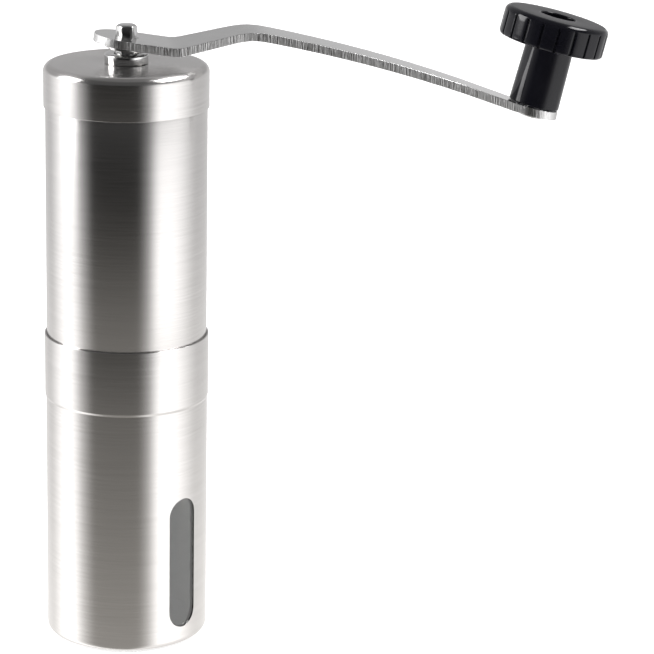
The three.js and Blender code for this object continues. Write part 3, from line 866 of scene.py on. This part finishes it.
def shaft_clip(finish):
    """An open ring that snaps into the shaft's groove."""
    low = bottom("shaft_clip")
    high = top("shaft_clip")
    clip = ring("shaft_clip_ring", 2.85, 5.4, low, high, 0.1, 96)
    mouth = math.tan(math.radians(38)) * 7
    wedge = pushed("mouth", [(0, 0), (7, -mouth), (7, mouth)], "z", low - 1, high + 1)
    settled(combined(clip, wedge, "DIFFERENCE"))
    return fitted(eased(clip, 0.05), "shaft_clip", finish)


def washer(name, node, inner, outer, finish):
    piece = ring(name, inner, outer, bottom(node), top(node), 0.12, 96)
    return fitted(piece, node, finish)


def spring(finish):
    """A round wire wound up in a helix whose ends lie flat."""
    low = bottom("spring")
    high = top("spring")
    wire, coil_r, turns, steps = 0.38, 4.6, 3.5, 30
    count = int(turns * steps)

    def rise(share):
        bounded = min(max((share - 0.06) / 0.88, 0), 1)
        eased_share = bounded * bounded * (3 - 2 * bounded)
        return eased_share * 0.35 + share * 0.65

    lift = (high - low - 2 * wire) * MM
    bpy.ops.object.select_all(action="DESELECT")
    bpy.ops.mesh.primitive_circle_add(
        vertices=14, radius=wire * MM, fill_type="NGON",
        location=(coil_r * MM, 0, (low + wire) * MM), rotation=(math.radians(90), 0, 0))
    piece = bpy.context.object
    piece.name = "burr_spring"
    bpy.ops.object.mode_set(mode="EDIT")
    for step in range(count):
        climb = lift * (rise((step + 1) / count) - rise(step / count))
        bpy.ops.mesh.extrude_region_move(TRANSFORM_OT_translate={"value": (0, 0, climb)})
        bpy.ops.transform.rotate(
            value=-2 * math.pi / steps, orient_axis="Z", center_override=(0, 0, 0))
    tidied()
    settled(piece)
    fitted(piece, "spring", finish)
    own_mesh(piece)
    return piece


# ---- Turning burr and adjuster ---------------------------------------------------------------
def inner_burr(finish):
    """The turning burr: a cone cut with slanted teeth that deepen towards the top."""
    low = bottom("inner_burr")
    high = top("inner_burr")
    bore = CORE_R + 0.1
    tooth_cut, twist = 0.085, 0.03
    cone = [(15, low), (14.9, 69), (13.6, 72.5), (12.2, 76), (10.4, 79), (8.6, high)]
    points = [(bore, (low + high) / 2), (bore, low)]
    for (r0, z0), (r1, z1) in zip(cone, cone[1:]):
        points += [(r0 + (r1 - r0) * t / 4, z0 + (z1 - z0) * t / 4) for t in range(4)]
    points += [cone[-1], (bore, high), (bore, (low + high) / 2)]
    body = turned("inner_burr_ceramic", points, 360, 3)
    toothed(body, lambda r: r > bore + 0.4, [step / 5 for step in range(1, 6)],
            lambda share: 1 - tooth_cut * share)
    twisted(body, low, high, twist, bore + 0.3)
    settled(body, smooth=25)
    return fitted(body, "inner_burr", finish)


def burr_core(finish):
    """The heart of the turning burr, with a six-sided bore that slides on the shaft."""
    low = bottom("burr_core")
    high = top("burr_core")
    plate_r, plate_high = 12.5, 66.9
    body = turned("burr_core_moulding", [
        (0, low), (plate_r, low, 0.3), (plate_r, plate_high, 0.1),
        (CORE_R, plate_high), (CORE_R, high, 1.2), (0, high),
    ], ROUND, 4)
    combined(body, prism("bore", HEX_R + 0.18, low - 1, high + 1), "DIFFERENCE")
    settled(body)
    return fitted(body, "burr_core", finish)


def adjuster_nut(finish):
    """A dial with ten finger lobes under a thin flange."""
    low = bottom("adjuster_nut")
    high = top("adjuster_nut")
    bore, dial_r, flange_r = 4.1, 9.2, 10.2
    steps, lobes, lobe_depth = 240, 10, 0.9
    body = turned("adjuster_dial", [
        (bore, (low + high) / 2), (bore, low, 0.2),
        (dial_r, low, 0.6), (dial_r, low + 2), (dial_r, low + 4), (dial_r, high - 1.5, 0.15),
        (flange_r, high - 1, 0.2), (flange_r, high, 0.2), (bore, high, 0.2),
        (bore, (low + high) / 2),
    ], steps, 4)
    sides = Rows(6.8, dial_r, low - 0.1, high - 1.45)
    fluted(body, lobes, math.pi / lobes,
           lambda share: lobe_depth * (0.5 + 0.5 * math.cos(math.pi * share)), sides)
    settled(body, smooth=30)
    return fitted(body, "adjuster_nut", finish)


def adjuster_insert(finish):
    low = bottom("adjuster_insert")
    high = top("adjuster_insert")
    body = ring("adjuster_brass", 2.6, 4, low, high, 0.2, 96)
    return fitted(body, "adjuster_insert", finish)


# ---- Crank, in its own place: the middle of the plate on the shaft ------------------------------
DROOP = math.radians(8.5)
HUB_TOP = 180.05
HUB_MIDDLE = HUB_TOP - PLATE / 2 / math.cos(DROOP)
CRANK_PLACE = Matrix.Translation((0, 0, HUB_MIDDLE * MM)) @ Matrix.Rotation(DROOP, 4, "Y")
HUB_EYE_R = 9.5
BEND_WIDE, BEND_WIDE_AT = 9.3, 14.5
BEND_SLIM, BEND_SLIM_AT = 7.1, 36
END_SLIM = 5.5
KNOB_REACH = 123.6
KNOB_EYE_R = 7.5
HUB_END, FIRST_BEND = 11.4, 6.3
SECOND_START, SECOND_BEND = 29.6, 12.7
EYE_START, EYE_BEND = 115.5, 4
RISE = DROOP + 0.2157
FALL = DROOP - 0.2034
SAG_RATE = -0.00222
EYE_SLOPE = DROOP - 0.24


def smoothstep(value, low, high):
    share = min(max((value - low) / (high - low), 0), 1)
    return share * share * (3 - 2 * share)


def mixed(first, second, share):
    return first + (second - first) * share


def plate_slope(s):
    """Slope of the plate at a distance along it from the shaft."""
    rising = RISE * smoothstep(s, HUB_END, HUB_END + FIRST_BEND)
    falling = (FALL - RISE) * smoothstep(s, SECOND_START, SECOND_START + SECOND_BEND)
    sag_start = SECOND_START + SECOND_BEND
    sag = SAG_RATE * (min(max(s, sag_start), EYE_START) - sag_start)
    eye_turn = EYE_SLOPE - FALL - SAG_RATE * (EYE_START - sag_start)
    return rising + falling + sag + eye_turn * smoothstep(s, EYE_START, EYE_START + EYE_BEND)


def plate_at(s):
    """Place on the plate's middle line and its slope there."""
    count = 200
    x = z = 0.0
    for step in range(count):
        slope = plate_slope((step + 0.5) * s / count)
        x += s / count * math.cos(slope)
        z += s / count * math.sin(slope)
    return x, z, plate_slope(s)


def half_width(s):
    """Half the plate's width between its two round ends."""
    if s < BEND_WIDE_AT:
        return mixed(HUB_EYE_R, BEND_WIDE, s / BEND_WIDE_AT)
    if s < BEND_SLIM_AT:
        return mixed(BEND_WIDE, BEND_SLIM, (s - BEND_WIDE_AT) / (BEND_SLIM_AT - BEND_WIDE_AT))
    along = (s - BEND_SLIM_AT) / (EYE_START + EYE_BEND - BEND_SLIM_AT)
    return mixed(BEND_SLIM, END_SLIM, min(along, 1))


def crank_arm(finish):
    """A strip bent to its side outline, cut to its plan outline, with a six-sided socket."""
    bends = [(HUB_END, FIRST_BEND, 10), (SECOND_START, SECOND_BEND, 16), (EYE_START, EYE_BEND, 8)]
    stations = [-HUB_EYE_R - 2]
    for start, length, count in bends:
        stations += [start + length * step / count for step in range(count + 1)]
        if start == SECOND_START:
            stations += [start + length + 7.35 * step for step in range(1, 9)]
    stations.append(KNOB_REACH + KNOB_EYE_R + 2)
    upper, lower = [], []
    for s in stations:
        x, z, slope = plate_at(s)
        rise = Vector((-math.sin(slope), math.cos(slope))) * PLATE / 2
        upper.append((x + rise.x, z + rise.y))
        lower.append((x - rise.x, z - rise.y))
    strip = pushed("steel_crank", upper + lower[::-1], "y", -14, 14)

    join = KNOB_REACH - math.sqrt(KNOB_EYE_R ** 2 - END_SLIM ** 2)
    sides = [mixed(0, join, step / 48) for step in range(49)]
    edge = [(plate_at(s)[0], half_width(s)) for s in sides]
    hub = [math.pi / 2 + math.pi * step / 40 for step in range(1, 40)]
    eye_x, eye_z, eye_slope = plate_at(KNOB_REACH)
    open_to = math.pi - math.asin(END_SLIM / KNOB_EYE_R)
    eye = [mixed(-open_to, open_to, step / 48) for step in range(1, 48)]
    plan = [(HUB_EYE_R * math.cos(angle), HUB_EYE_R * math.sin(angle)) for angle in hub]
    plan += [(x, -half) for x, half in edge]
    plan += [
        (eye_x + KNOB_EYE_R * math.cos(angle) * math.cos(eye_slope), KNOB_EYE_R * math.sin(angle))
        for angle in eye
    ]
    plan += [(x, half) for x, half in edge[::-1]]
    blank = pushed("plan", plan, "z", -40, 40)
    combined(strip, blank, "INTERSECT")
    combined(strip, prism("socket", HEX_R + 0.42, -4, 4), "DIFFERENCE")
    hole = prism("hole", RIVET_R + 0.15, -4, 4, 48)
    eye_place = Matrix.Translation((eye_x * MM, 0, eye_z * MM))
    settled(hole, eye_place @ Matrix.Rotation(-eye_slope, 4, "Y"))
    combined(strip, hole, "DIFFERENCE")
    eased(strip, 0.3, 40, 3)
    settled(strip, CRANK_PLACE, 50)
    return fitted(strip, "crank_arm", finish)


def crank_boss(finish):
    high = -PLATE / 2 - REST
    boss = ring("crank_collar", 4.1, 5.7, high - 1, high, 0.2)
    settled(boss, CRANK_PLACE)
    return fitted(boss, "crank_boss", finish)


# ---- Knob, in its own place: the foot of its stem ---------------------------------------------
KNOB_AXIS = Vector(JOINTS["knob_spin"]["axis"])
KNOB_PLACE = (Matrix.Translation(JOINTS["knob_spin"]["pos_m"])
              @ Matrix.Rotation(math.atan2(KNOB_AXIS.x, KNOB_AXIS.z), 4, "Y"))


def knob(finish):
    """A round stem under a grip whose rim is cut by narrow grooves into slightly crowned pads."""
    high = STEM_HEIGHT + GRIP_HEIGHT
    foot_r = WASHER_R + REST
    stem_foot, stem_top = 7.45, 7.1
    rim_low = STEM_HEIGHT + 1
    rim_high = high - GRIP_BEVEL
    rows = [(GRIP_R, mixed(rim_low, rim_high, step / 6)) for step in range(7)]
    body = turned("black_knob", [
        (foot_r, 0.4), (foot_r, 0, 0.1), (stem_foot, 0, 0.4), (stem_top, STEM_HEIGHT, 0.6),
        (GRIP_R, STEM_HEIGHT, 0.95), *rows[1:-1], (GRIP_R, high, GRIP_BEVEL - 0.05),
        (RECESS_R, high, 0.35), (RECESS_R, high - RECESS_DEPTH, 0.3),
        (RIVET_R + 0.15, high - RECESS_DEPTH), (RIVET_R + 0.15, 0.8), (foot_r, 0.8), (foot_r, 0.4),
    ], 480, 8)
    groove = 0.14

    def depth(share):
        crown = 0.1 * (1 - share) ** 2
        cut = 0.55 * (1 - smoothstep(share, groove * 0.55, groove * 1.35))
        return crown + cut

    facing = -math.pi / 2 - math.pi / GRIP_GROOVES
    rim = Rows(GRIP_R - 0.3, GRIP_R, STEM_HEIGHT + 0.25, rim_high + 0.35)
    fluted(body, GRIP_GROOVES, facing, depth, rim)
    settled(body, KNOB_PLACE, 40)
    return fitted(body, "knob", finish)


def knob_rivet(finish):
    """A domed head in the knob's recess, a shank, and a peened end under the plate."""
    seat = STEM_HEIGHT + GRIP_HEIGHT - RECESS_DEPTH + REST
    under = -PLATE - 2 * REST
    head_r, foot_r = 4.6, 3.6
    dome = [(head_r * math.cos(a), seat + 0.5 + 1.7 * math.sin(a))
            for a in (math.radians(step * 9) for step in range(11))]
    body = turned("knob_axle", [
        (0, under - 0.7), (foot_r, under - 0.7, 0.45), (foot_r, under, 0.12),
        (RIVET_R, under), (RIVET_R, seat), (head_r, seat, 0.1), *dome[:-1], (0, dome[-1][1]),
    ], 96, 4)
    settled(body, KNOB_PLACE)
    return fitted(body, "knob_rivet", finish)


def knob_washer(finish):
    body = ring("knob_foot_washer", RIVET_R + 0.15, WASHER_R, 0, 0.5, 0.12, 96)
    settled(body, KNOB_PLACE)
    return fitted(body, "knob_washer", finish)


# ---- Assembly --------------------------------------------------------------------------------
camera()
studio_light()
floor()

steel = brushed_steel()
bright = polished_steel()
wire_steel = spring_steel()
bearing_brass = brass()
black = black_plastic()
fired = ceramic()

container_shell(steel)
window_pane(clear_plastic())
hopper_tube(steel)
burr_carrier(black)
bushing("lower_bearing", "lower_bushing", bearing_brass)
upper_bridge(black)
bushing("upper_bearing", "upper_bushing", bearing_brass)
outer_burr(fired)
burr_retainer(black)
lid(steel)
lid_bushing(bright)
drive_shaft(bright)
shaft_clip(wire_steel)
washer("thrust_washer_disc", "thrust_washer", SHAFT_R + 0.15, 6, wire_steel)
washer("spring_washer_disc", "spring_washer", HEX_R + 0.2, 5.8, wire_steel)
spring(wire_steel)
inner_burr(fired)
burr_core(black)
adjuster_nut(black)
adjuster_insert(bearing_brass)
crank_arm(bright)
crank_boss(bright)
knob(knob_plastic())
knob_rivet(bright)
knob_washer(wire_steel)

bpy.context.scene.view_settings.view_transform = "Standard"
